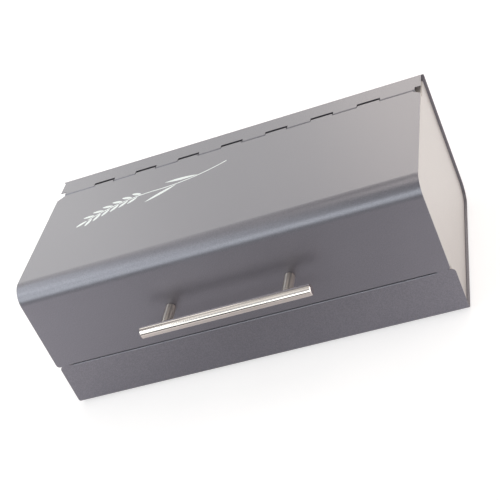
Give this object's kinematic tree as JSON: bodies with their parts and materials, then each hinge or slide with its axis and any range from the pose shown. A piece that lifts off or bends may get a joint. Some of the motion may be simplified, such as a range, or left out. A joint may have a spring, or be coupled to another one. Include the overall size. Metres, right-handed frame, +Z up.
{
  "type": "bread box",
  "caption": "Wide bread box of folded painted sheet steel with a piano-hinged lid that wraps over the top and front, opened by a T-bar handle.",
  "frame": {"origin": "centre of the box's footprint with its handle, on the surface that the feet stand on", "axes": "+X to the right along the hinge, -Y out of the front where the handle is, +Z up"},
  "size_m": [0.432, 0.2616, 0.16],
  "materials": {
    "silver_paint": "satin silver-grey powder coat",
    "panel_paint": "satin light warm grey powder coat",
    "stainless": "brushed stainless steel",
    "steel": "zinc-plated steel",
    "clear_rubber": "soft translucent rubber",
    "black_rubber": "matt black rubber"
  },
  "bodies": {
    "body": {"body_shell": "silver_paint", "side_panel_left": "panel_paint", "side_panel_right": "panel_paint", "hinge_pin": "steel", "lid_bumper_left": "clear_rubber", "lid_bumper_right": "clear_rubber", "foot_front_left": "black_rubber", "foot_front_right": "black_rubber", "foot_rear_left": "black_rubber", "foot_rear_right": "black_rubber"},
    "lid": {"lid": "silver_paint", "handle_bar": "stainless", "handle_post_left": "stainless", "handle_post_right": "stainless", "handle_screw_left": "steel", "handle_screw_right": "steel", "handle_washer_left": "steel", "handle_washer_right": "steel"}
  },
  "joints": [
    {"name": "lid_hinge", "type": "hinge", "parent": "body", "child": "lid", "pos_m": [0, 0.09755, 0.15745], "axis": [-1, 0, 0], "range_deg": [0, 105]}
  ]
}
